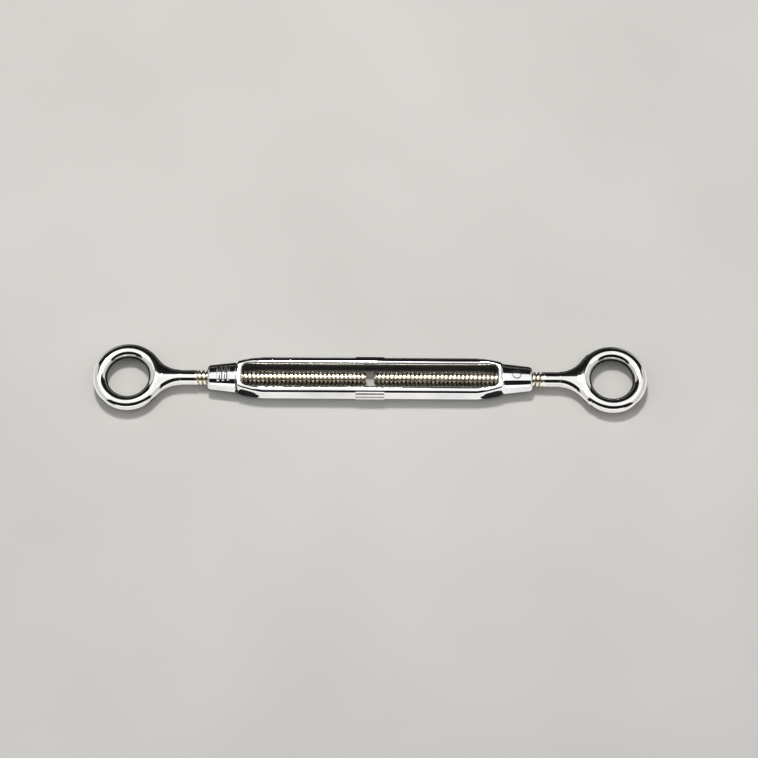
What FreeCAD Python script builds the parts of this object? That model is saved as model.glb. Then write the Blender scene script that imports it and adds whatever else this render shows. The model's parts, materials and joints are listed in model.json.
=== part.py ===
import FreeCAD, Part
import os
import re
from math import atan2, degrees

import Sketcher

# An open-frame rigging turnbuckle: one forged frame with a tapped boss at each end,
# and two forged eye bolts, one with a right-hand and one with a left-hand thread.
# Millimetres. The origin is the middle of the frame on the screws' common axis,
# +X runs along the screws to the left-hand-thread eye, +Z is square to both eyes.

DIMENSIONS = {
    "rod_diameter": 9.525,
    "eye_centre_distance": 161.4,
    # frame
    "frame_length": 216.2,
    "slot_length": 170.4,
    "slot_width": 15.4,
    "slot_corner_radius": 3.8,
    "slot_rim_radius": 1.1,
    "rail_height": 13.3,
    "rail_top_width": 22.0,
    "rail_shoulder_width": 25.2,
    "rail_shoulder_height": 10.4,
    "rail_side_radius": 11.9,
    "rail_side_centre": 1.9,
    "rail_corner_radius": 2.2,
    "boss_end_flats": 15.0,
    "boss_root_flats": 18.8,
    "boss_root_distance": 89.6,
    "boss_flat_share": 0.545,
    "boss_end_chamfer": 0.9,
    "flare_end_distance": 73.6,
    "bore_clearance": 0.05,
    "bore_countersink": 0.7,
    # grip pads at mid-length
    "pad_length": 19.1,
    "pad_rise": 0.6,
    "pad_height": 11.4,
    "pad_root_width": 22.0,
    "groove_width": 0.8,
    "groove_depth": 0.5,
    "groove_spacing": 3.3,
    "pad_drop": 0.45,
    # plain raised marks on the boss tops
    "mark_rise": 0.4,
    "mark_footing": 0.6,
    "mark_distance": 97.4,
    "bar_length": 6.4,
    "bar_width": 1.4,
    "bar_spacing": 3.4,
    "button_diameter": 5.2,
    # eye bolts
    "eye_ring_radius": 18.6,
    "eye_wire_radius": 4.65,
    "eye_bore_radius": 14.15,
    "neck_start": 35.0,
    "neck_radius": 5.06,
    "web_step": 4.0,
    "web_spread": 0.0285,
    "web_drop": 0.034,
    "thread_start": 46.4,
    "thread_pitch": 2.783,
    "thread_depth": 1.4,
    "thread_root_flat": 0.5,
    "thread_crest_flat": 0.35,
    "bolt_length": 158.7,
    "tip_chamfer": 1.2,
}

# Sections of the flare between the ends of the rails and the root of the boss: how far
# along it each one stands, and how much of the rails' own section it keeps.
FLARE_SECTIONS = ((0.225, 0.88), (0.45, 0.66), (0.675, 0.38), (0.8625, 0.12))

# The number of sections through the web that joins an eye to its shank.
WEB_SECTION_COUNT = 5

document = FreeCAD.newDocument("turnbuckle")
sheet = document.addObject("Spreadsheet::Sheet", "Sizes")
for row, (alias, number) in enumerate(DIMENSIONS.items(), start=1):
    sheet.set("A%d" % row, str(number))
    sheet.setAlias("A%d" % row, alias)
document.recompute()


def qualified(formula):
    """A formula that names the sheet's cells, ready to be used on another object."""

    def full_name(word):
        return "Sizes." + word[0] if word[0] in DIMENSIONS else word[0]

    return re.sub(r"[a-z_]+", full_name, formula)


def number(formula):
    """What a formula comes to with the sheet's present values."""
    return float(sheet.evalExpression(formula))


def plane(body, role):
    """One of the body's own origin planes or axes."""
    for feature in body.Origin.OriginFeatures:
        if feature.Role == role:
            return feature
    raise ValueError("the body has no " + role)


def sketch_on(body, name, role, offset=None, turn=None):
    """A sketch on an origin plane, moved along its normal by a formula."""
    sketch = body.newObject("Sketcher::SketchObject", name)
    sketch.AttachmentSupport = [(plane(body, role), "")]
    sketch.MapMode = "FlatFace"
    if turn:
        sketch.AttachmentOffset = FreeCAD.Placement(FreeCAD.Vector(), turn)
    if offset:
        for axis, formula in zip("xyz", offset):
            sketch.setExpression("AttachmentOffset.Base." + axis, qualified(formula))
    return sketch


def bind(sketch, constraint, name, formula):
    """Add a named dimension and drive it from the sheet."""
    index = sketch.addConstraint(constraint)
    sketch.renameConstraint(index, name)
    sketch.setExpression("Constraints." + name, qualified(formula))


def pin(sketch, label, geometry, position, across, up):
    """Hold one point of a sketch at coordinates given by two formulas."""
    for direction, formula in (("X", across), ("Y", up)):
        if formula == "0":
            axis = -2 if direction == "X" else -1
            sketch.addConstraint(
                Sketcher.Constraint("PointOnObject", geometry, position, axis)
            )
        else:
            bind(
                sketch,
                Sketcher.Constraint(
                    "Distance" + direction, -1, 1, geometry, position, number(formula)
                ),
                label + direction,
                formula,
            )


def outline(sketch, corners, radii=None, label="corner"):
    """A closed outline. Edge n runs from corner n to the next, and is an arc bulging
    to its right-hand side where radii gives it a radius."""
    radii = radii or {}
    spots = [FreeCAD.Vector(number(a), number(b), 0) for a, b in corners]
    edges = []
    for index, start in enumerate(spots):
        end = spots[(index + 1) % len(spots)]
        if index in radii:
            radius = number(radii[index])
            half = (end - start).multiply(0.5)
            outward = FreeCAD.Vector(half.y, -half.x, 0).normalize()
            sagitta = radius - (radius**2 - half.Length**2) ** 0.5
            middle = start + half + outward * sagitta
            edges.append(sketch.addGeometry(Part.Arc(start, middle, end)))
        else:
            edges.append(sketch.addGeometry(Part.LineSegment(start, end)))
    # an arc is stored anticlockwise, so its first point can be either end
    for index, edge in enumerate(edges):
        start_point = 1
        if (sketch.getPoint(edge, 1) - spots[index]).Length > 1e-6:
            start_point = 2
        previous = edges[index - 1]
        previous_end = 2
        if (sketch.getPoint(previous, 2) - spots[index]).Length > 1e-6:
            previous_end = 1
        sketch.addConstraint(
            Sketcher.Constraint("Coincident", previous, previous_end, edge, start_point)
        )
        pin(sketch, label + str(index), edge, start_point, *corners[index])
        if index in radii:
            bind(
                sketch,
                Sketcher.Constraint("Radius", edge, number(radii[index])),
                label + "Radius" + str(index),
                radii[index],
            )


def circle(sketch, label, across, up, radius):
    """A circle with its centre and radius driven by formulas."""
    centre = FreeCAD.Vector(number(across), number(up), 0)
    edge = sketch.addGeometry(
        Part.Circle(centre, FreeCAD.Vector(0, 0, 1), number(radius))
    )
    pin(sketch, label, edge, 3, across, up)
    bind(
        sketch,
        Sketcher.Constraint("Radius", edge, number(radius)),
        label + "Radius",
        radius,
    )


def ellipse(sketch, half_width, half_height):
    """An ellipse about the sketch's origin with its long axis level."""
    wide = FreeCAD.Vector(number(half_width), 0, 0)
    tall = FreeCAD.Vector(0, number(half_height), 0)
    edge = sketch.addGeometry(Part.Ellipse(wide, tall, FreeCAD.Vector()))
    sketch.exposeInternalGeometry(edge)
    sketch.addConstraint(Sketcher.Constraint("Coincident", edge, 3, -1, 1))
    sketch.addConstraint(Sketcher.Constraint("Horizontal", edge + 1))
    for line, name, half in (
        (edge + 1, "width", half_width),
        (edge + 2, "height", half_height),
    ):
        formula = "2 * ( " + half + " )"
        bind(
            sketch, Sketcher.Constraint("Distance", line, number(formula)), name, formula
        )


def feature(body, kind, name, profile):
    """A PartDesign feature on one sketch."""
    result = body.newObject("PartDesign::" + kind, name)
    result.Profile = profile
    return result


def opposite(formula):
    return formula if formula == "0" else "-( " + formula + " )"


def eight_sided(sketch, side, side_rise, top_run, top, radii=None):
    """A section symmetric about both axes: flat top and bottom, four corners and two
    sides, so that every section of the frame can be lofted to the next."""
    corners = (
        (side, opposite(side_rise)),
        (side, side_rise),
        (top_run, top),
        (opposite(top_run), top),
        (opposite(side), side_rise),
        (opposite(side), opposite(side_rise)),
        (opposite(top_run), opposite(top)),
        (top_run, opposite(top)),
    )
    outline(sketch, corners, radii)


RAIL_SECTION = (
    "rail_shoulder_width / 2",
    "rail_shoulder_height / 2",
    "rail_top_width / 2",
    "rail_height / 2",
)
RAIL_ARCS = {
    edge: "rail_side_radius" if edge in (0, 4) else "rail_corner_radius"
    for edge in (0, 1, 3, 4, 5, 7)
}
BOSS_ROOT = (
    "boss_root_flats / 2",
    "boss_root_flats / 2 * boss_flat_share",
    "boss_root_flats / 2 * boss_flat_share",
    "boss_root_flats / 2",
)
BOSS_END = tuple(text.replace("root", "end") for text in BOSS_ROOT)


# where the pads' outer face crosses mid-height, and the face's radius
PAD_FACE = "rail_side_centre + rail_side_radius + pad_rise"
PAD_RADIUS = "rail_side_radius + pad_rise"
PAD_EDGE = "rail_side_centre + sqrt( ( {0} ) ^ 2 - ( pad_height / 2 ) ^ 2 )".format(
    PAD_RADIUS
)
# the height of the boss's top flat where the marks stand
MARK_HEIGHT = (
    "boss_root_flats / 2 - ( mark_distance - boss_root_distance )"
    " * ( boss_root_flats - boss_end_flats ) / ( frame_length - 2 * boss_root_distance )"
)


def blended(share):
    """A section part of the way from the boss root to the rails."""
    return tuple(
        "( {0} ) + ( ( {1} ) - ( {0} ) ) * {2}".format(a, b, share)
        for a, b in zip(BOSS_ROOT, RAIL_SECTION)
    )


def lofted(body, name, sections):
    """A loft through sketched sections at distances along X."""
    sketches = []
    for index, (distance, section, radii) in enumerate(sections):
        sketch = sketch_on(
            body, name + "Section%d" % index, "YZ_Plane", ("0", "0", distance)
        )
        eight_sided(sketch, *section, radii=radii)
        sketches.append(sketch)
    document.recompute()
    loft = feature(body, "AdditiveLoft", name, sketches[0])
    loft.Sections = sketches[1:]
    loft.Ruled = True
    return loft


def rectangle(sketch, label, left, right, low, high):
    outline(
        sketch, ((left, low), (right, low), (right, high), (left, high)), label=label
    )


def volume_after(expected_change, body, before):
    """Recompute, and stop if the newest feature changed the volume the wrong way."""
    document.recompute()
    volume = body.Shape.Volume
    if (volume - before) * expected_change <= 0:
        raise ValueError(body.Tip.Name + " did not change its body as it should")
    return volume


def mirrored(body, name, originals, role):
    """Repeat features on the other side of one of the body's origin planes."""
    mirror = body.newObject("PartDesign::Mirrored", name)
    mirror.Originals = originals
    mirror.MirrorPlane = (plane(body, role), [""])
    body.Tip = mirror
    return mirror


def edges_where(shape, wanted):
    """Names of the edges for which wanted(edge) is true."""
    names = ["Edge%d" % (i + 1) for i, edge in enumerate(shape.Edges) if wanted(edge)]
    if not names:
        raise ValueError("no edge was found where one was expected")
    return names


def spread(edge, count=7):
    """Points spaced along an edge."""
    return edge.discretize(count)


def on_slot_rim(edge):
    """Edges where the slot's wall meets the top or the underside."""
    length = number("slot_length / 2")
    width = number("slot_width / 2")
    corner = number("slot_corner_radius")
    for point in spread(edge):
        x, y, z = abs(point.x), abs(point.y), abs(point.z)
        if z < number("rail_height / 2") - 0.05:
            return False
        if x > length - corner and y > width - corner:
            reach = ((x - length + corner) ** 2 + (y - width + corner) ** 2) ** 0.5
            if abs(reach - corner) > 0.02:
                return False
        elif min(abs(x - length), abs(y - width)) > 0.02:
            return False
    return True


def on_boss_end(edge):
    """The outer edges of the two end faces."""
    end = number("frame_length / 2")
    return all(abs(abs(point.x) - end) < 0.001 for point in spread(edge))


def on_bore_mouth(edge):
    """The four circles where the bore leaves the bosses."""
    radius = number("rod_diameter / 2 + bore_clearance")
    places = (number("frame_length / 2"), number("slot_length / 2"))
    for point in spread(edge):
        if abs((point.y**2 + point.z**2) ** 0.5 - radius) > 0.01:
            return False
        if min(abs(abs(point.x) - place) for place in places) > 0.001:
            return False
    return True


def grip_pad_outline(sketch, sign, name):
    """A crescent on the outside of one rail, with its arc parallel to the rail's side."""
    inner = sign("pad_root_width / 2")
    outer = sign(PAD_EDGE)
    half = "pad_height / 2"
    corners = [
        (inner, opposite(half)),
        (outer, opposite(half)),
        (outer, half),
        (inner, half),
    ]
    if sign is opposite:
        corners = corners[::-1]
    outline(sketch, corners, {1: PAD_RADIUS}, label=name)


def groove_outline(sketch, sign, step, name):
    """One groove along the rail, cut from outside the pad to its own depth."""
    height = "groove_spacing * %g" % step
    low = height + " - groove_width / 2"
    high = height + " + groove_width / 2"
    depth = "{0} - pad_drop * {1:g} - groove_depth".format(PAD_FACE, step * step)
    near, far = sign(depth), sign("( " + PAD_FACE + " ) + 1.0")
    if sign is opposite:
        near, far = far, near
    rectangle(sketch, name, near, far, low, high)


def raised_marks(body, volume):
    """Plain bars on one boss and a plain button on the other, on the top flats."""
    slope = number("( boss_root_flats - boss_end_flats ) / 2")
    run = number("frame_length / 2 - boss_root_distance")
    tilt = degrees(atan2(slope, run))
    surface = MARK_HEIGHT + " - mark_footing"
    for sign, name in ((opposite, "Bars"), (str, "Button")):
        angle = -tilt if sign is opposite else tilt
        turn = FreeCAD.Rotation(FreeCAD.Vector(0, 1, 0), angle)
        place = (sign("mark_distance"), "0", surface)
        sketch = sketch_on(body, name + "Sketch", "XY_Plane", place, turn)
        if name == "Bars":
            for step in (-1, 0, 1):
                middle = "bar_spacing * %d" % step
                rectangle(
                    sketch,
                    "bar%d" % (step + 1),
                    middle + " - bar_width / 2",
                    middle + " + bar_width / 2",
                    "-( bar_length / 2 )",
                    "bar_length / 2",
                )
        else:
            circle(sketch, "button", "0", "0", "button_diameter / 2")
        mark = feature(body, "Pad", name, sketch)
        mark.setExpression("Length", qualified("mark_footing + mark_rise"))
        volume = volume_after(1, body, volume)
    return volume


def slot_outline(sketch):
    """A long slot with rounded corners, which leaves flat ends."""
    length = "slot_length / 2"
    width = "slot_width / 2"
    short = "slot_length / 2 - slot_corner_radius"
    narrow = "slot_width / 2 - slot_corner_radius"
    corners = (
        (length, opposite(narrow)),
        (length, narrow),
        (short, width),
        (opposite(short), width),
        (opposite(length), narrow),
        (opposite(length), opposite(narrow)),
        (opposite(short), opposite(width)),
        (short, opposite(width)),
    )
    outline(sketch, corners, {edge: "slot_corner_radius" for edge in (1, 3, 5, 7)})


def build_frame():
    body = document.addObject("PartDesign::Body", "OpenFrame")
    body.Label = "open_frame"

    middle = sketch_on(body, "RailSection", "YZ_Plane")
    eight_sided(middle, *RAIL_SECTION, radii=RAIL_ARCS)
    rails = feature(body, "Pad", "Rails", middle)
    rails.Midplane = True
    rails.setExpression("Length", qualified("2 * flare_end_distance"))
    document.recompute()
    volume = body.Shape.Volume

    length = "( boss_root_distance - flare_end_distance )"
    sections = [("flare_end_distance", RAIL_SECTION, RAIL_ARCS)]
    for along, kept in FLARE_SECTIONS:
        distance = "flare_end_distance + %s * %g" % (length, along)
        sections.append((distance, blended("%g" % kept), None))
    sections.append(("boss_root_distance", BOSS_ROOT, None))
    flare = lofted(body, "Flare", sections)
    volume = volume_after(1, body, volume)
    boss = lofted(
        body,
        "Boss",
        (
            ("boss_root_distance", BOSS_ROOT, None),
            ("frame_length / 2", BOSS_END, None),
        ),
    )
    volume = volume_after(1, body, volume)
    mirrored(body, "OtherEnd", [flare, boss], "YZ_Plane")
    volume = volume_after(1, body, volume)

    opening = sketch_on(body, "SlotOutline", "XY_Plane")
    slot_outline(opening)
    slot = feature(body, "Pocket", "Slot", opening)
    slot.Type = "ThroughAll"
    slot.Midplane = True
    volume = volume_after(-1, body, volume)

    # the slot's rim is rounded over on the top and on the underside
    rim = body.newObject("PartDesign::Fillet", "SlotRim")
    rim.Base = (slot, edges_where(slot.Shape, on_slot_rim))
    rim.setExpression("Radius", qualified("slot_rim_radius"))
    volume = volume_after(-1, body, volume)

    ends = body.newObject("PartDesign::Chamfer", "BossEnds")
    ends.Base = (rim, edges_where(rim.Shape, on_boss_end))
    ends.setExpression("Size", qualified("boss_end_chamfer"))
    volume = volume_after(-1, body, volume)

    # one straight bore through both bosses, opened out at its four mouths
    bore_sketch = sketch_on(body, "BoreCircle", "YZ_Plane")
    circle(bore_sketch, "bore", "0", "0", "rod_diameter / 2 + bore_clearance")
    bore = feature(body, "Pocket", "Bore", bore_sketch)
    bore.Type = "ThroughAll"
    bore.Midplane = True
    volume = volume_after(-1, body, volume)

    mouths = body.newObject("PartDesign::Chamfer", "BoreMouths")
    mouths.Base = (bore, edges_where(bore.Shape, on_bore_mouth))
    mouths.setExpression("Size", qualified("bore_countersink"))
    volume = volume_after(-1, body, volume)

    pad_sketch = sketch_on(body, "GripPadSection", "YZ_Plane")
    for sign, name in ((str, "front"), (opposite, "rear")):
        grip_pad_outline(pad_sketch, sign, name)
    pads = feature(body, "Pad", "GripPads", pad_sketch)
    pads.Midplane = True
    pads.setExpression("Length", qualified("pad_length"))
    volume = volume_after(1, body, volume)

    groove_sketch = sketch_on(body, "GrooveSections", "YZ_Plane")
    for index, step in enumerate((-1.5, -0.5, 0.5, 1.5)):
        for sign, name in ((str, "front"), (opposite, "rear")):
            groove_outline(groove_sketch, sign, step, name + str(index))
    grooves = feature(body, "Pocket", "Grooves", groove_sketch)
    grooves.Midplane = True
    grooves.setExpression("Length", qualified("pad_length + 2.0"))
    volume = volume_after(-1, body, volume)

    raised_marks(body, volume)
    return body


def build_eye_bolt(label, left_handed):
    """An eye bolt in its own frame: the eye's centre is the origin, and the shank runs
    along +X."""
    body = document.addObject("PartDesign::Body", "".join(label.title().split("_")))
    body.Label = label

    wire = sketch_on(body, "WireSection", "XZ_Plane")
    circle(wire, "wire", "eye_ring_radius", "0", "eye_wire_radius")
    ring = feature(body, "Revolution", "Ring", wire)
    ring.ReferenceAxis = (wire, ["V_Axis"])
    ring.Angle = 360
    document.recompute()
    volume = body.Shape.Volume

    sections = []
    for index in range(WEB_SECTION_COUNT):
        back = "( web_step * %d )" % index
        place = ("0", "0", "neck_start - " + back)
        section = sketch_on(body, "WebSection%d" % index, "YZ_Plane", place)
        half_width = "neck_radius + web_spread * %s ^ 2" % back
        half_height = "neck_radius - 0.01 - web_drop * " + back
        ellipse(section, half_width, half_height)
        sections.append(section)
    document.recompute()
    web = feature(body, "AdditiveLoft", "Web", sections[0])
    web.Sections = sections[1:]
    volume = volume_after(1, body, volume)

    profile = sketch_on(body, "ShankProfile", "XZ_Plane")
    outline(
        profile,
        (
            ("neck_start - 1.0", "0"),
            ("bolt_length", "0"),
            ("bolt_length", "rod_diameter / 2 - tip_chamfer"),
            ("bolt_length - tip_chamfer", "rod_diameter / 2"),
            ("neck_start - 1.0", "rod_diameter / 2"),
        ),
    )
    shank = feature(body, "Revolution", "Shank", profile)
    shank.ReferenceAxis = (profile, ["H_Axis"])
    shank.Angle = 360
    volume = volume_after(1, body, volume)

    # the eye's inside is trimmed to a short cylindrical land at mid-height
    land = sketch_on(body, "LandCircle", "XY_Plane")
    circle(land, "land", "0", "0", "eye_bore_radius")
    trim = feature(body, "Pocket", "EyeLand", land)
    trim.Type = "ThroughAll"
    trim.Midplane = True
    volume = volume_after(-1, body, volume)

    groove = sketch_on(body, "ThreadGroove", "XZ_Plane")
    crest = "( thread_pitch - thread_crest_flat ) / 2"
    root = "thread_root_flat / 2"
    outline(
        groove,
        (
            ("thread_start - " + root, "rod_diameter / 2 - thread_depth"),
            ("thread_start + " + root, "rod_diameter / 2 - thread_depth"),
            ("thread_start + " + crest, "rod_diameter / 2 + 0.1"),
            ("thread_start - " + crest, "rod_diameter / 2 + 0.1"),
        ),
    )
    thread = feature(body, "SubtractiveHelix", "Thread", groove)
    thread.ReferenceAxis = (groove, ["H_Axis"])
    thread.Mode = "pitch-height-angle"
    thread.setExpression("Pitch", qualified("thread_pitch"))
    thread.setExpression(
        "Height", qualified("bolt_length - thread_start + 2 * thread_pitch")
    )
    thread.LeftHanded = left_handed
    volume_after(-1, body, volume)
    return body


def stop_if_broken():
    """Every object must have recomputed, and every sub-part must be one good solid."""
    for item in document.Objects:
        if "Invalid" in item.State or "Error" in item.State:
            raise ValueError(item.Label + " did not recompute")
    for body in (frame, right_hand_bolt, left_hand_bolt):
        shape = body.Shape
        if shape.isNull() or not shape.isValid() or len(shape.Solids) != 1:
            raise ValueError(body.Label + " is not one valid solid")


frame = build_frame()
right_hand_bolt = build_eye_bolt("right_hand_eye_bolt", False)
right_hand_bolt.setExpression(
    "Placement.Base.x", qualified("-( eye_centre_distance )")
)
left_hand_bolt = build_eye_bolt("left_hand_eye_bolt", True)
left_hand_bolt.Placement = FreeCAD.Placement(
    FreeCAD.Vector(), FreeCAD.Rotation(FreeCAD.Vector(0, 0, 1), 180)
)
left_hand_bolt.setExpression("Placement.Base.x", qualified("eye_centre_distance"))
document.recompute()
stop_if_broken()

os.makedirs("parts", exist_ok=True)
for body in (frame, right_hand_bolt, left_hand_bolt):
    body.Shape.exportStep("parts/" + body.Label + ".step")
    box = body.Shape.BoundBox
    print(body.Label, "%.1f mm3" % body.Shape.Volume, len(body.Shape.Faces), box)
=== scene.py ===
import json
import math

import bpy
import numpy as np
from mathutils import Matrix, Vector


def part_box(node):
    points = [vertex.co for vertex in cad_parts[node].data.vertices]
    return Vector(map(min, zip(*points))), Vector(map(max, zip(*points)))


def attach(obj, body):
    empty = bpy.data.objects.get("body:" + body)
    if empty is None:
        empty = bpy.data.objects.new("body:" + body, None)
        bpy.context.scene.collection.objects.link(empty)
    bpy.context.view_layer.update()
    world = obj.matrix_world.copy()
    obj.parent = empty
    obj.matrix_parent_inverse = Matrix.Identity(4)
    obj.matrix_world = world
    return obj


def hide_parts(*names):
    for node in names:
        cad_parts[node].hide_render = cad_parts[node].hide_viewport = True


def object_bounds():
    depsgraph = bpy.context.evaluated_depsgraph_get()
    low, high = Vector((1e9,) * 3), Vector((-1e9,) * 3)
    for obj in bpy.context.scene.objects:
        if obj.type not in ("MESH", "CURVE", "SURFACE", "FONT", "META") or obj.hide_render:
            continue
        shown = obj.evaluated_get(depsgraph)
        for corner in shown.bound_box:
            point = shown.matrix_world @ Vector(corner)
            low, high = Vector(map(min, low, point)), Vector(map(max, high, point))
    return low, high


# A chrome-plated open-frame turnbuckle lying on a pale floor. The frame and the two
# eyes are polygonised from smooth fields, so every blend and rounded edge is real
# geometry; the two screws are swept with a true helical thread of opposite hands.
# A field is negative inside a shape, zero on its surface and positive outside it, and
# near the surface it is close to the distance in millimetres.

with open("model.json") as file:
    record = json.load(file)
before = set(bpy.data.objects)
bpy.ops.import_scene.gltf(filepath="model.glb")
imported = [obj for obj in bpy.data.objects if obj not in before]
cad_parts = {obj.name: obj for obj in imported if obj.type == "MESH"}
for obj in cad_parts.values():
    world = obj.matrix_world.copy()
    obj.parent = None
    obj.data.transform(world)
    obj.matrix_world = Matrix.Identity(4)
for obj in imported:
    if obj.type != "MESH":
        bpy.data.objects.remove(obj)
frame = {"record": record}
cad_low, cad_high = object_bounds()

MM = 0.001

# ---------------------------------------------------------------- sizes, millimetres

EYE_CENTRE = 1000 * frame["record"]["mounts"][1]["pos_m"][0]
FRAME_HALF = 1000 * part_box("open_frame")[1].x
RAIL_FACE = 13.8

SLOT_HALF = 85.2
SLOT_SIDE = 7.7
SLOT_CORNER = 3.8
SLOT_RIM = 2.3
SLOT_END_RIM = 1.1
SLOT_END_START = 76.0
SLOT_END_FULL = 83.0

RAIL_HALF_HEIGHT = 6.65
RAIL_ARC = 11.9
RAIL_ARC_CENTRE = RAIL_FACE - RAIL_ARC
RAIL_EDGE = 2.4
RAIL_END = 88.3
FLARE_START = 70.0
FLARE_END = 90.5
FLARE_DROP = 3.4
FLARE_LIFT = 1.5
FLARE_TUCK = 0.6
TUCK_START = 84.5
WALL_START = 73.5
WALL_END = 78.5
WALL_INSET = 0.5
WALL_EDGE = 3.2

BOSS_ROOT = 89.2
BOSS_ROOT_SHIFT = 1.3
BOSS_CORE = 88.0
BOSS_CORE_SHARE = 0.93
BOSS_ROOT_FLAT = 9.54
BOSS_END_FLAT = 7.7
BOSS_ROUND = 0.91
BOSS_SIDE = 1.12
BOSS_ROOT_EDGE = 0.7
BOSS_END_EDGE = 2.4
BOSS_FACET = 1.02
FACET_RISE = math.radians(35.0)
BORE = 4.82
BORE_EDGE = 0.8

PAD_HALF = 9.55
PAD_INSIDE = 10.8
PAD_RISE = 0.58
PAD_FADE = 5.4
PAD_EDGE = 5.8
GROOVE_RADIUS = 0.5
GROOVE_SPACING = 3.3
GROOVE_STEPS = (-1.5, -0.5, 0.5, 1.5)

MARK_PLACE = 97.4
MARK_RISE = 0.4
MARK_FLOOR = 4.0
BUTTON_RADIUS = 2.6
BAR_SPACING = 3.4
BAR_HALF_WIDTH = 0.72
BAR_HALF_LENGTH = 5.0

RING = 18.59
WIRE = 4.65
NECK = 5.06
NECK_START = 16.5
NECK_END = 35.0
WEB_DROP = 0.034
RIGHT_WEB_SPREAD = 0.0285
LEFT_WEB_SPREAD = 0.034

ROD = 9.525 / 2
ROD_START = 33.5
THREAD_START = 46.4
THREAD_PITCH = 2.783
THREAD_DEPTH = 1.3
THREAD_RUN_IN = 1.4
BOLT_LENGTH = 158.7
TIP_CHAMFER = 1.2
TIP_START = BOLT_LENGTH - TIP_CHAMFER
ROD_SIDES = 56
ROWS_PER_PITCH = 20.0

# The frame's material slots, in order.
# SHADED faces take painted shade in the pads' grooves, the root groove and round the marks;
# DULL_AND_SHADED is the slot walls' rougher finish, whose darker tint is painted shade.
POLISHED, SHADED, DULL_AND_SHADED = 0, 1, 2

BACKDROP = (0.62, 0.615, 0.60, 1.0)


# ---------------------------------------------------------------- fields


def lerp(a, b, t):
    return a + (b - a) * t


def smoothstep(low, high, value):
    t = np.clip((value - low) / (high - low), 0.0, 1.0)
    return t * t * (3.0 - 2.0 * t)


def union(a, b, blend):
    """The smaller of two fields, with the crease between them filled by a fillet."""
    overlap = np.maximum(blend - np.abs(a - b), 0.0)
    return np.minimum(a, b) - overlap * overlap / (4.0 * blend)


def both(a, b, blend):
    """Where two fields overlap, with the edge between them rounded off."""
    return -union(-a, -b, blend)


def rail_section(x, y, z):
    """Two bars of D section, which bend in towards the bosses and get steep sides."""
    place = np.abs(x)
    flare = smoothstep(FLARE_START, FLARE_END, place)
    steep = smoothstep(WALL_START, WALL_END, place)
    tuck = FLARE_TUCK * smoothstep(TUCK_START, RAIL_END, place)
    across = np.abs(y) + FLARE_DROP * flare + tuck - RAIL_ARC_CENTRE
    bowed = np.hypot(np.maximum(across, 0.0), z) - RAIL_ARC
    side = lerp(bowed, across - (RAIL_ARC - WALL_INSET), steep)
    half_height = RAIL_HALF_HEIGHT + FLARE_LIFT * flare
    return both(side, np.abs(z) - half_height, lerp(RAIL_EDGE, WALL_EDGE, steep))


def rail_field(x, y, z):
    """The two rails, cut off at both ends."""
    rounding = np.where(x > 0.0, 1.6, 1.0)
    return both(rail_section(x, y, z), np.abs(x) - RAIL_END, rounding)


def boss_section(y, z, flat):
    """A round barrel with forged facets, seen from the end."""
    barrel = np.hypot(BOSS_ROUND * y, z) - flat
    facet = np.abs(y) * math.cos(FACET_RISE) + np.abs(z) * math.sin(FACET_RISE)
    flats = both(np.abs(y) - BOSS_SIDE * flat, np.abs(z) - flat, 0.6)
    return both(both(barrel, facet - BOSS_FACET * flat, 1.2), flats, 0.9)


def boss_flat(x):
    """Half the height of the tapering boss at a place along it."""
    share = (np.abs(x) - BOSS_ROOT) / (FRAME_HALF - BOSS_ROOT)
    return lerp(BOSS_ROOT_FLAT, BOSS_END_FLAT, share)


def boss_field(x, y, z):
    """A tapering boss at each end of the frame. A slimmer core runs back from its root
    into the end of the slot, which leaves a narrow groove on one side."""
    place = np.abs(x)
    root = np.where(x > 0.0, BOSS_ROOT - BOSS_ROOT_SHIFT, BOSS_ROOT)
    ends = both(root - place, place - FRAME_HALF, 0.5)
    edge = np.where(place > BOSS_ROOT + 5.0, BOSS_END_EDGE, BOSS_ROOT_EDGE)
    boss = both(boss_section(y, z, boss_flat(x)), ends, edge)
    core = boss_section(y, z, BOSS_CORE_SHARE * BOSS_ROOT_FLAT)
    core = both(core, np.abs(place - BOSS_ROOT) - (BOSS_ROOT - BOSS_CORE), 0.5)
    return np.minimum(boss, core)


def slot_field(x, y):
    """A long slot with rounded corners."""
    along = np.abs(x) - (SLOT_HALF - SLOT_CORNER)
    across = np.abs(y) - (SLOT_SIDE - SLOT_CORNER)
    outside = np.hypot(np.maximum(along, 0.0), np.maximum(across, 0.0))
    return outside + np.minimum(np.maximum(along, across), 0.0) - SLOT_CORNER


def from_groove(y, z, step):
    """How far a point is from the middle line of one of the pads' grooves."""
    height = step * GROOVE_SPACING
    face = RAIL_ARC_CENTRE + math.sqrt((RAIL_ARC + PAD_RISE) ** 2 - height**2)
    return np.hypot(np.abs(y) - face, z - height)


def pad_field(x, y, z):
    """A thin raised pad with four grooves on the outside of each rail."""
    surface = rail_section(x, y, z)
    rise = lerp(PAD_RISE, -0.2, smoothstep(PAD_FADE, PAD_EDGE, np.abs(z)))
    shell = both(surface - rise, -1.5 - surface, 0.3)
    pad = both(both(shell, np.abs(x) - PAD_HALF, 0.45), PAD_INSIDE - np.abs(y), 0.3)
    for step in GROOVE_STEPS:
        pad = both(pad, -(from_groove(y, z, step) - GROOVE_RADIUS), 0.2)
    return pad


def mark_plan(x, y):
    """Seen from above: three plain bars on one boss, a plain button on the other."""
    plan = np.hypot(x - MARK_PLACE, y) - BUTTON_RADIUS
    for step in (-1, 0, 1):
        from_middle = np.abs(x - (-MARK_PLACE + BAR_SPACING * step))
        bar = both(from_middle - BAR_HALF_WIDTH, np.abs(y) - BAR_HALF_LENGTH, 0.2)
        plan = np.minimum(plan, bar)
    return plan


def mark_field(x, y, z):
    """The plain marks, raised from the tops of the bosses."""
    top = boss_section(y, z, boss_flat(x)) - MARK_RISE
    return both(both(mark_plan(x, y), top, 0.35), MARK_FLOOR - z, 0.5)


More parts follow.
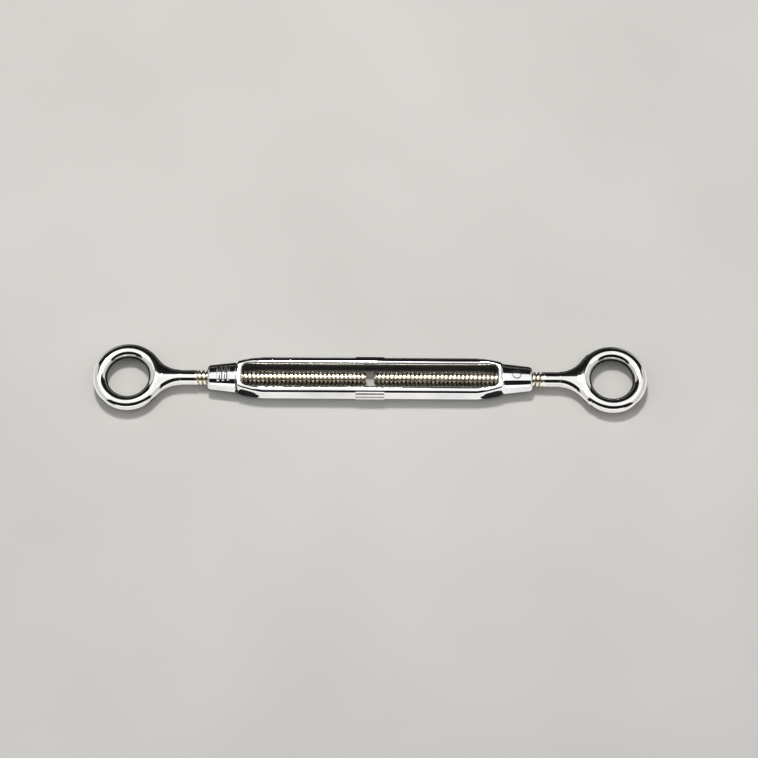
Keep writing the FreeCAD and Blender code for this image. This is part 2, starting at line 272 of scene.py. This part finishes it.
def frame_field(x, y, z):
    """The whole frame: rails and bosses, less the slot and the bore, with its details."""
    fillet = np.where(x > 0.0, 1.5, 0.5)
    body = union(rail_field(x, y, z), boss_field(x, y, z), fillet)
    near_end = smoothstep(SLOT_END_START, SLOT_END_FULL, np.abs(x))
    rim = lerp(SLOT_RIM, SLOT_END_RIM, near_end)
    body = both(body, -slot_field(x, y), rim)
    body = union(body, pad_field(x, y, z), 0.25)
    body = union(body, mark_field(x, y, z), 0.3)
    return both(body, BORE - np.hypot(y, z), BORE_EDGE)


def eye_field(web_spread):
    """A forged eye about its own centre, with its neck along +x."""

    def field(x, y, z):
        reach = np.hypot(x, y)
        ring = np.hypot(reach - RING, z) - WIRE
        back = np.maximum(NECK_END - x, 0.0)
        half_width = NECK + web_spread * back**2
        half_height = NECK - WEB_DROP * back
        squash = half_height / half_width
        level = np.hypot(y * squash, z)
        steep = np.hypot(y * squash * squash, z) / np.maximum(level, 1e-3)
        neck = (level - half_height) / np.maximum(steep, 0.2)
        neck = both(both(neck, RING - 0.4 - reach, 1.5), NECK_START - x, 1.0)
        body = union(ring, neck, 2.5)
        return both(body, x - NECK_END, 0.5)

    return field


# ---------------------------------------------------------------- the frame's finish and painted shade


def mark_painted_shade(x, y, z):
    """Painted shade in a thin ring round the button and along the gaps between the bars."""
    beyond = mark_plan(x, y)
    ring = (x > 0.0) & (np.abs(beyond - 0.12) < 0.24)
    between = (np.abs(x + MARK_PLACE) < BAR_SPACING) & (np.abs(y) < BAR_HALF_LENGTH - 0.4)
    gap = between & (beyond > -0.05) & (beyond < 0.62)
    return (z > MARK_FLOOR + 1.0) & (ring | gap)


def root_painted_shade(x, y, z):
    """Painted shade in the groove at the root of one boss."""
    gap = (x < 0.1 - RAIL_END) & (x > -0.1 - BOSS_ROOT) & (np.abs(y) > 5.0)
    return gap & (boss_section(y, z, BOSS_ROOT_FLAT) < -0.2)


def groove_painted_shade(x, y, z):
    """Painted shade in the grooves of the pads."""
    nearest = np.min([from_groove(y, z, step) for step in GROOVE_STEPS], axis=0)
    return (nearest < GROOVE_RADIUS + 0.05) & (np.abs(x) < PAD_HALF)


def frame_finish(x, y, z):
    """The material slot of each face, from its middle."""
    # The slot walls' darker tint and the SHADED faces are painted shade.
    walls = (slot_field(x, y) < 0.12) & (np.abs(x) < SLOT_HALF + 0.3)
    shaded = mark_painted_shade(x, y, z) | root_painted_shade(x, y, z) | groove_painted_shade(x, y, z)
    return np.where(shaded, SHADED, np.where(walls, DULL_AND_SHADED, POLISHED))


# ---------------------------------------------------------------- meshes


def graded(stops):
    """Grid lines through (place, spacing) stops; each spacing holds up to its stop."""
    lines = [stops[0][0]]
    for (start, _), (end, spacing) in zip(stops, stops[1:]):
        count = max(1, round((end - start) / spacing))
        lines.extend(start + (end - start) * (i + 1) / count for i in range(count))
    return np.array(lines)


def mirrored_lines(lines):
    """Grid lines for both signs, from those for positive places."""
    return np.concatenate([-lines[:0:-1], lines])


def gradient(field, points):
    step = 1e-3
    x, y, z = points.T
    rises = [
        field(x + step, y, z) - field(x - step, y, z),
        field(x, y + step, z) - field(x, y - step, z),
        field(x, y, z + step) - field(x, y, z - step),
    ]
    return np.stack(rises, axis=1) / (2.0 * step)


def landed(field, points):
    """Points moved straight onto the surface where the field is zero."""
    for _ in range(4):
        slope = gradient(field, points)
        height = field(*points.T)
        squared = np.maximum((slope**2).sum(axis=1), 1e-6)
        points = points - slope * (height / squared)[:, None]
    return points


def relaxed(field, points, quads, rounds=6):
    """Points spread evenly over the surface, each drawn towards its neighbours."""
    pairs = np.vstack([quads[:, [i, (i + 1) % 4]] for i in range(4)])
    for _ in range(rounds):
        gathered = np.zeros_like(points)
        tally = np.zeros(len(points))
        for a, b in ((0, 1), (1, 0)):
            np.add.at(gathered, pairs[:, a], points[pairs[:, b]])
            np.add.at(tally, pairs[:, a], 1.0)
        points = lerp(points, gathered / tally[:, None], 0.5)
        points = landed(field, points)
    return points


def cell_corners(values):
    """The eight corner arrays of every cell, keyed by their offsets."""
    nx, ny, nz = (size - 1 for size in values.shape)
    return {
        (i, j, k): values[i : i + nx, j : j + ny, k : k + nz]
        for i in (0, 1)
        for j in (0, 1)
        for k in (0, 1)
    }


def crossed_cells(corners):
    """The cells that the surface passes through, and each one's number, or else -1."""
    inside = sum((corner < 0.0).astype(np.int8) for corner in corners.values())
    active = (inside > 0) & (inside < 8)
    cells = np.argwhere(active)
    number = np.full(active.shape, -1, np.int64)
    number[tuple(cells.T)] = np.arange(len(cells))
    return cells, number


def cell_points(cells, corners, lines):
    """In each cell, the mean of the places where its edges cross the surface."""
    low = np.stack([lines[a][cells[:, a]] for a in range(3)], axis=1)
    size = np.stack([lines[a][cells[:, a] + 1] for a in range(3)], axis=1) - low
    total = np.zeros((len(cells), 3))
    count = np.zeros(len(cells))
    for start in corners:
        for axis in range(3):
            if start[axis]:
                continue
            end = tuple(1 if a == axis else start[a] for a in range(3))
            here = corners[start][tuple(cells.T)]
            there = corners[end][tuple(cells.T)]
            crossed = (here < 0.0) != (there < 0.0)
            share = np.where(crossed, here / np.where(crossed, here - there, 1.0), 0.0)
            place = np.tile(np.array(start, float), (len(cells), 1))
            place[:, axis] = share
            total += np.where(crossed[:, None], place, 0.0)
            count += crossed
    return low + size * total / count[:, None]


def crossing_quads(negative, number, axis):
    """A quad round every grid edge along one axis that crosses the surface, made of
    the points in the four cells that share the edge, and facing outwards."""
    others = [a for a in range(3) if a != axis]
    first = np.take(negative, range(negative.shape[axis] - 1), axis)
    second = np.take(negative, range(1, negative.shape[axis]), axis)
    crossing = np.argwhere(first != second)
    inner = [
        (crossing[:, a] > 0) & (crossing[:, a] < negative.shape[a] - 1) for a in others
    ]
    crossing = crossing[np.all(inner, axis=0)]
    loop = []
    for step_a, step_b in ((1, 1), (0, 1), (0, 0), (1, 0)):
        cell = crossing.copy()
        cell[:, others[0]] -= step_a
        cell[:, others[1]] -= step_b
        loop.append(number[tuple(cell.T)])
    loop = np.stack(loop, axis=1)
    flip = first[tuple(crossing.T)] == (axis == 1)
    loop[flip] = loop[flip][:, ::-1]
    return loop


def polygonised(field, lines):
    """Points, quads and normals for the surface of a field over a rectilinear grid."""
    values = field(*np.meshgrid(*lines, indexing="ij"))
    corners = cell_corners(values)
    cells, number = crossed_cells(corners)
    negative = values < 0.0
    quads = np.vstack([crossing_quads(negative, number, axis) for axis in range(3)])
    points = landed(field, cell_points(cells, corners, lines))
    points = relaxed(field, points, quads)
    normals = gradient(field, points)
    return points, quads, normals / np.linalg.norm(normals, axis=1)[:, None]


def made_piece(name, points, faces, normals, place, materials, slots=None):
    """A Blender mesh from points in millimetres, with its own smooth normals."""
    mesh = bpy.data.meshes.new(name)
    moved = [place @ Vector(point) * MM for point in points]
    mesh.from_pydata(moved, [], [[int(i) for i in face] for face in faces])
    for material in materials:
        mesh.materials.append(material)
    mesh.polygons.foreach_set("use_smooth", [True] * len(mesh.polygons))
    if slots is not None:
        mesh.polygons.foreach_set("material_index", slots)
    turn = place.to_3x3()
    mesh.normals_split_custom_set_from_vertices([turn @ Vector(n) for n in normals])
    mesh.validate()
    piece = bpy.data.objects.new(name, mesh)
    bpy.context.scene.collection.objects.link(piece)
    return piece


def frame_lines():
    """Fine where the bosses, slot ends, pads and grooves are, and long along the rails."""
    along = graded(
        (
            (0.0, 1.0),
            (8.4, 2.1),
            (10.6, 0.25),
            (14.0, 1.1),
            (64.0, 3.0),
            (71.0, 1.2),
            (91.0, 0.48),
            (93.0, 0.36),
            (101.8, 0.25),
            (109.0, 0.45),
        )
    )
    across = graded(((0.0, 0.3), (3.6, 0.36), (12.6, 0.45), (15.0, 0.24)))
    up = graded(
        (
            (0.0, 0.3),
            (1.05, 0.35),
            (2.25, 0.17),
            (4.2, 0.39),
            (5.5, 0.17),
            (8.3, 0.4),
            (9.9, 0.2),
        )
    )
    return [mirrored_lines(line) for line in (along, across, up)]


def eye_lines():
    return [
        graded(((-24.2, 0.5), (36.0, 0.5))),
        graded(((-24.2, 0.5), (24.2, 0.5))),
        graded(((-8.0, 0.45), (8.0, 0.45))),
    ]


def rod_rows():
    """Places along the bolt for the rows of points: fine on the thread and at its tip."""
    fine_start = THREAD_START - 2.0
    fine = int((TIP_START - THREAD_START + 2.0) / (THREAD_PITCH / ROWS_PER_PITCH))
    rows = [ROD_START]
    rows += list(np.linspace(ROD_START + 0.5, fine_start, 8))
    rows += list(np.linspace(fine_start, TIP_START, fine)[1:])
    rows += list(np.linspace(TIP_START, BOLT_LENGTH - 0.05, 9)[1:])
    return np.array(rows)


def rod_point(u, theta, hand):
    """A point on the screw, from its place along the bolt and its angle round it."""
    phase = u / THREAD_PITCH - hand * theta / (2.0 * math.pi)
    from_crest = np.abs(phase - np.round(phase))
    depth = THREAD_DEPTH * smoothstep(0.2, 0.44, from_crest)
    depth = depth * smoothstep(THREAD_START - THREAD_RUN_IN, THREAD_START + THREAD_RUN_IN, u)
    cone = ROD - np.maximum(u - TIP_START, 0.0)
    radius = np.minimum(cone, ROD - depth)
    return np.stack([u, radius * np.cos(theta), radius * np.sin(theta)], axis=-1)


def rod_faces(rows):
    """Quads between the rows and a fan at each end, with a material slot for each."""
    faces, slots = [], []
    for row in range(len(rows) - 1):
        threaded = rows[row] > THREAD_START - 1.6
        here = row * ROD_SIDES
        ahead = here + ROD_SIDES
        for column in range(ROD_SIDES):
            after = (column + 1) % ROD_SIDES
            faces.append((here + column, here + after, ahead + after, ahead + column))
            slots.append(int(threaded))
    first = len(rows) * ROD_SIDES
    last_row = first - ROD_SIDES
    for column in range(ROD_SIDES):
        after = (column + 1) % ROD_SIDES
        faces.append((first, after, column))
        faces.append((first + 1, last_row + column, last_row + after))
        slots += [0, 1]
    return faces, slots


def rod_surface(hand):
    """A screw round its own axis: plain shank, helical thread and chamfered tip."""
    rows = rod_rows()
    angle = 2.0 * math.pi * np.arange(ROD_SIDES) / ROD_SIDES
    u, theta = np.meshgrid(rows, angle, indexing="ij")
    points = rod_point(u, theta, hand)
    along = rod_point(u + 1e-3, theta, hand) - rod_point(u - 1e-3, theta, hand)
    around = rod_point(u, theta + 1e-3, hand) - rod_point(u, theta - 1e-3, hand)
    normals = np.cross(around, along)
    normals /= np.linalg.norm(normals, axis=-1)[..., None]
    ends = np.array([[rows[0], 0.0, 0.0], [BOLT_LENGTH, 0.0, 0.0]])
    end_normals = np.array([[-1.0, 0.0, 0.0], [1.0, 0.0, 0.0]])
    faces, slots = rod_faces(rows)
    return (
        np.vstack([points.reshape(-1, 3), ends]),
        faces,
        np.vstack([normals.reshape(-1, 3), end_normals]),
        slots,
    )


# ---------------------------------------------------------------- materials


class Nodes:
    """A few short calls for building a node material."""

    def __init__(self, name):
        self.material = bpy.data.materials.new(name)
        self.material.use_nodes = True
        self.tree = self.material.node_tree
        self.shader = self.tree.nodes["Principled BSDF"]
        self.place = self.add("ShaderNodeTexCoord").outputs["Object"]

    def add(self, kind, **settings):
        node = self.tree.nodes.new(kind)
        for key, value in settings.items():
            setattr(node, key, value)
        return node

    def link(self, source, target):
        self.tree.links.new(source, target)

    def noise(self, scale, detail=3.0, stretch=None, roughness=0.5):
        node = self.add("ShaderNodeTexNoise")
        node.inputs["Scale"].default_value = scale
        node.inputs["Detail"].default_value = detail
        node.inputs["Roughness"].default_value = roughness
        source = self.place
        if stretch:
            mapping = self.add("ShaderNodeMapping")
            mapping.inputs["Scale"].default_value = stretch
            self.link(source, mapping.inputs["Vector"])
            source = mapping.outputs["Vector"]
        self.link(source, node.inputs["Vector"])
        return node.outputs["Fac"]

    def ramp(self, source, *stops):
        node = self.add("ShaderNodeValToRGB")
        for element, (place, colour) in zip(node.color_ramp.elements, stops):
            element.position = place
            element.color = (*colour, 1.0)
        self.link(source, node.inputs["Fac"])
        return node.outputs["Color"]

    def mix(self, share, first, second):
        node = self.add("ShaderNodeMix", data_type="RGBA")
        self.link(share, node.inputs["Factor"])
        self.link(first, node.inputs["A"])
        self.link(second, node.inputs["B"])
        return node.outputs["Result"]

    def ranged(self, source, low, high, start=0.3, end=0.7):
        """The source from start to end, spread over low to high."""
        node = self.add("ShaderNodeMapRange")
        node.inputs["From Min"].default_value = start
        node.inputs["From Max"].default_value = end
        node.inputs["To Min"].default_value = low
        node.inputs["To Max"].default_value = high
        self.link(source, node.inputs["Value"])
        return node.outputs["Result"]

    def bumps(self, *layers):
        """Heights stacked as bump nodes: (height, depth in metres) each."""
        previous = None
        for height, depth in layers:
            node = self.add("ShaderNodeBump")
            node.inputs["Strength"].default_value = 1.0
            node.inputs["Distance"].default_value = depth
            self.link(height, node.inputs["Height"])
            if previous:
                self.link(previous, node.inputs["Normal"])
            previous = node.outputs["Normal"]
        self.link(previous, self.shader.inputs["Normal"])

    def from_axis(self):
        """The distance in metres from the X axis, which runs through both screws."""
        split = self.add("ShaderNodeSeparateXYZ")
        self.link(self.place, split.inputs["Vector"])
        y_squared = self.add("ShaderNodeMath", operation="MULTIPLY")
        self.link(split.outputs["Y"], y_squared.inputs[0])
        self.link(split.outputs["Y"], y_squared.inputs[1])
        squared = self.add("ShaderNodeMath", operation="MULTIPLY_ADD")
        self.link(split.outputs["Z"], squared.inputs[0])
        self.link(split.outputs["Z"], squared.inputs[1])
        self.link(y_squared.outputs["Value"], squared.inputs[2])
        reach = self.add("ShaderNodeMath", operation="SQRT")
        self.link(squared.outputs["Value"], reach.inputs[0])
        return reach.outputs["Value"]


def chrome(name, tint=(1.0, 1.0, 1.0), polish=(0.035, 0.12)):
    """Bright plate: cloudy polish, faint waves from the forging, fine rubbing marks,
    warmer metal where edges are worn and painted shade darkening the creases."""
    nodes = Nodes(name)
    nodes.shader.inputs["Metallic"].default_value = 1.0
    dull, bright = [0.70 * c for c in tint], [0.86 * c for c in tint]
    clouds = nodes.ramp(nodes.noise(38.0, 4.0), (0.3, dull), (0.7, bright))
    worn = nodes.ramp(nodes.noise(420.0), (0.4, (0.84, 0.79, 0.68)), (0.6, (0.9, 0.88, 0.82)))
    # Painted shade: a near-black colour mixed in wherever Pointiness finds a crease.
    painted_shade = nodes.ramp(nodes.noise(600.0), (0.3, (0.05, 0.04, 0.03)), (0.7, (0.16, 0.13, 0.10)))
    sharp = nodes.add("ShaderNodeNewGeometry").outputs["Pointiness"]
    edge = nodes.ranged(sharp, 0.0, 0.55, 0.53, 0.60)
    crease = nodes.ranged(sharp, 1.0, 0.0, 0.42, 0.48)
    plated = nodes.mix(edge, clouds, worn)
    nodes.link(nodes.mix(crease, plated, painted_shade), nodes.shader.inputs["Base Color"])
    haze = nodes.ranged(nodes.noise(90.0, 5.0, roughness=0.6), *polish)
    nodes.link(haze, nodes.shader.inputs["Roughness"])
    waves = nodes.noise(70.0, 2.0)
    rubbing = nodes.noise(900.0, 2.0, stretch=(0.05, 1.0, 1.0))
    nodes.bumps((waves, 0.00003), (rubbing, 0.0000015))
    return nodes.material


def thread_bronze(name):
    """Thin plate over bronze: warm on the flanks, with painted shade darkening the roots."""
    nodes = Nodes(name)
    nodes.shader.inputs["Metallic"].default_value = 1.0
    warm = nodes.ramp(nodes.noise(160.0, 4.0), (0.3, (0.84, 0.79, 0.65)), (0.7, (0.92, 0.89, 0.78)))
    # Painted shade: a darker colour in the thread's roots, mixed in by distance from the axis.
    painted_shade = nodes.ramp(nodes.noise(500.0), (0.35, (0.34, 0.29, 0.20)), (0.65, (0.56, 0.50, 0.38)))
    root = (ROD - THREAD_DEPTH) * MM
    height = nodes.ranged(nodes.from_axis(), 0.0, 1.0, root, ROD * MM - 0.0003)
    nodes.link(nodes.mix(height, painted_shade, warm), nodes.shader.inputs["Base Color"])
    rough = nodes.ranged(nodes.noise(240.0, 4.0), 0.14, 0.30)
    nodes.link(rough, nodes.shader.inputs["Roughness"])
    nodes.bumps((nodes.noise(1400.0, 2.0), 0.000004))
    return nodes.material


def painted_shade_material(name):
    """Painted shade: a dark colour laid into the grooves and round the marks."""
    nodes = Nodes(name)
    nodes.shader.inputs["Metallic"].default_value = 0.6
    shade_tone = nodes.ramp(nodes.noise(700.0, 4.0), (0.3, (0.03, 0.025, 0.02)), (0.7, (0.12, 0.10, 0.08)))
    nodes.link(shade_tone, nodes.shader.inputs["Base Color"])
    rough = nodes.ranged(nodes.noise(300.0), 0.45, 0.75)
    nodes.link(rough, nodes.shader.inputs["Roughness"])
    nodes.bumps((nodes.noise(1800.0, 2.0), 0.00001))
    return nodes.material


def pale_floor(name):
    """A matt floor that takes on the backdrop's tone far away, beyond the lights."""
    nodes = Nodes(name)
    nodes.shader.inputs["Roughness"].default_value = 0.85
    nodes.shader.inputs["Specular IOR Level"].default_value = 0.0
    tone = nodes.ramp(nodes.noise(6.0, 2.0), (0.3, (0.50, 0.495, 0.48)), (0.7, (0.54, 0.535, 0.52)))
    nodes.link(tone, nodes.shader.inputs["Base Color"])
    away = nodes.add("ShaderNodeVectorMath", operation="LENGTH")
    nodes.link(nodes.place, away.inputs[0])
    fade = nodes.ranged(away.outputs["Value"], 0.0, 1.0, 0.9, 2.9)
    nodes.link(fade, nodes.shader.inputs["Emission Strength"])
    nodes.shader.inputs["Emission Color"].default_value = BACKDROP
    return nodes.material


frame_chrome = chrome("frame_chrome")
# The slot walls: a rougher finish, with a darker tint that is painted shade inside the slot.
shaded_slot_chrome = chrome("shaded_slot_chrome", (0.62, 0.60, 0.56), (0.26, 0.42))
bolt_chrome = chrome("bolt_chrome", (1.0, 0.985, 0.955))
bronze = thread_bronze("thread_bronze")
# Painted shade for the pads' grooves, the groove at one boss's root and round the marks.
painted_shade_finish = painted_shade_material("painted_shade_finish")


# ---------------------------------------------------------------- the object


def make_frame():
    """Both bosses and both rails, as one forging."""
    points, faces, normals = polygonised(frame_field, frame_lines())
    middles = points[faces].mean(axis=1)
    slots = frame_finish(*middles.T)
    materials = [frame_chrome, painted_shade_finish, shaded_slot_chrome]
    upright = Matrix.Identity(4)
    body = made_piece("slotted_frame", points, faces, normals, upright, materials, slots)
    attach(body, "frame")
    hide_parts("open_frame")


def make_bolt(side, place, hand, web_spread):
    """An eye with its neck, and the screw that it is forged in one with."""
    eye_mesh = polygonised(eye_field(web_spread), eye_lines())
    eye = made_piece(side + "_eye", *eye_mesh, place, [bolt_chrome])
    points, faces, normals, slots = rod_surface(hand)
    materials = [bolt_chrome, bronze]
    screw = made_piece(side + "_screw", points, faces, normals, place, materials, slots)
    for piece in (eye, screw):
        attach(piece, side + "_bolt")
        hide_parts(side + "_eye_bolt")


HALF_TURN = Matrix.Rotation(math.pi, 4, "Z")

make_frame()
make_bolt("right_hand", Matrix.Translation((-EYE_CENTRE, 0, 0)), 1, RIGHT_WEB_SPREAD)
make_bolt("left_hand", Matrix.Translation((EYE_CENTRE, 0, 0)) @ HALF_TURN, -1, LEFT_WEB_SPREAD)


# ---------------------------------------------------------------- floor and cards, metres; the cards paint reflections

FLOOR_REACH = 6.0
CARD_LIFT = 0.00005
# How much the cards glow: bright cards paint reflected light, dim and dark cards paint reflected
# shade.
BRIGHT, DIM, DARK = 1.0, 0.1, 0.02


def flat_sheet(name, left, right, front, back, height, material):
    """A level rectangle of one material."""
    mesh = bpy.data.meshes.new(name)
    corners = [(left, front), (right, front), (right, back), (left, back)]
    mesh.from_pydata([(x, y, height) for x, y in corners], [], [(0, 1, 2, 3)])
    mesh.materials.append(material)
    sheet = bpy.data.objects.new(name, mesh)
    bpy.context.scene.collection.objects.link(sheet)
    return sheet


def make_floor():
    edges = (-FLOOR_REACH, FLOOR_REACH, -FLOOR_REACH, FLOOR_REACH)
    floor = flat_sheet("floor", *edges, cad_low.z, pale_floor("pale_floor"))


def glow_material(name, glow):
    material = bpy.data.materials.new(name)
    material.use_nodes = True
    shader = material.node_tree.nodes["Principled BSDF"]
    shader.inputs["Base Color"].default_value = (0.0, 0.0, 0.0, 1.0)
    shader.inputs["Specular IOR Level"].default_value = 0.0
    shader.inputs["Emission Color"].default_value = (1.0, 0.98, 0.96, 1.0)
    shader.inputs["Emission Strength"].default_value = glow
    return material


def card(name, left, right, front, back, glow):
    """A glowing card on the floor that shows only in reflections: painted light where it is bright,
    painted shade where it is dark.
    """
    height = cad_low.z + CARD_LIFT
    piece = flat_sheet(name, left, right, front, back, height, glow_material(name, glow))
    piece.visible_camera = False
    piece.visible_diffuse = False
    piece.visible_shadow = False
    piece.visible_transmission = False


def card_pair(name, near, far, front, back, glow):
    """The same card at both ends of the turnbuckle."""
    card("left_" + name, -far, -near, front, back, glow)
    card("right_" + name, near, far, front, back, glow)


make_floor()
# The front, rail, boss, neck and end cards paint light into the reflections; the slot, rear, flare
# and eye cards paint shade into them.
card("front_card", -0.4, 0.4, -0.45, -0.021, BRIGHT)
card("rail_card", -0.0755, 0.0755, -0.021, -0.0105, BRIGHT)
card("slot_card", -0.11, 0.11, -0.0105, 0.01, DARK)
card("rear_card", -0.186, 0.186, 0.01, 0.05, DARK)
card("rear_far_card", -0.186, 0.186, 0.05, 0.6, DIM)
card_pair("flare_card", 0.0755, 0.0905, -0.021, -0.0105, DARK)
card_pair("boss_card", 0.0905, 0.137, -0.021, -0.0105, BRIGHT)
card_pair("neck_card", 0.11, 0.137, -0.0105, 0.01, BRIGHT)
card_pair("eye_card", 0.137, 0.187, -0.021, 0.01, DARK)
card_pair("end_card", 0.187, 0.4, -0.021, 0.03, BRIGHT)


# ---------------------------------------------------------------- light and camera, metres


def area_light(name, place, target, width, depth, power, colour=(1.0, 1.0, 1.0)):
    data = bpy.data.lights.new(name, "AREA")
    data.shape = "RECTANGLE"
    data.size, data.size_y = width, depth
    data.energy = power
    data.color = colour
    light = bpy.data.objects.new(name, data)
    light.location = place
    towards = Vector(target) - Vector(place)
    light.rotation_euler = towards.to_track_quat("-Z", "Y").to_euler()
    light.visible_camera = False
    bpy.context.scene.collection.objects.link(light)


area_light("overhead", (0, -0.015, 1.6), (0, -0.015, 0), 3.2, 1.53, 18.5)
area_light("rear_key", (-0.1, 0.52, 1.55), (0, 0, 0), 0.2, 0.2, 19.0, (1.0, 0.975, 0.94))
area_light("left_side", (-1.9, 0.1, 1.1), (0, 0.1, 1.1), 2.6, 2.1, 13.0)
area_light("right_side", (1.9, 0.1, 1.1), (0, 0.1, 1.1), 2.6, 2.1, 13.0)
area_light("front_strip", (0, -1.0, 0.1), (0, 0, 0.1), 1.6, 0.2, 1.6)


def make_world():
    """A dark room in reflections, with a pale backdrop behind the floor."""
    world = bpy.data.worlds.new("studio")
    world.use_nodes = True
    tree = world.node_tree
    seen = tree.nodes.new("ShaderNodeLightPath")
    tone = tree.nodes.new("ShaderNodeMix")
    tone.data_type = "RGBA"
    tone.inputs["A"].default_value = (0.012, 0.012, 0.013, 1.0)
    tone.inputs["B"].default_value = BACKDROP
    tree.links.new(seen.outputs["Is Camera Ray"], tone.inputs["Factor"])
    tree.links.new(tone.outputs["Result"], tree.nodes["Background"].inputs["Color"])
    bpy.context.scene.world = world


ELEVATION = math.radians(68.0)
DISTANCE = 1.3
VIEW_WIDTH = 505.7 * MM
SENSOR = 36.0
ROLL = math.radians(0.33)
TARGET = Vector((6.0 * MM, -0.43 * MM, 0.0))


def make_camera():
    data = bpy.data.cameras.new("camera")
    data.sensor_width = SENSOR
    data.lens = SENSOR * DISTANCE / VIEW_WIDTH
    camera = bpy.data.objects.new("camera", data)
    back_off = Vector((0, -math.cos(ELEVATION), math.sin(ELEVATION)))
    camera.location = TARGET + DISTANCE * back_off
    facing = (TARGET - camera.location).to_track_quat("-Z", "Y").to_matrix().to_4x4()
    camera.rotation_euler = (facing @ Matrix.Rotation(ROLL, 4, "Z")).to_euler()
    bpy.context.scene.collection.objects.link(camera)
    bpy.context.scene.camera = camera


make_world()
make_camera()
bpy.context.scene.view_settings.view_transform = "Standard"
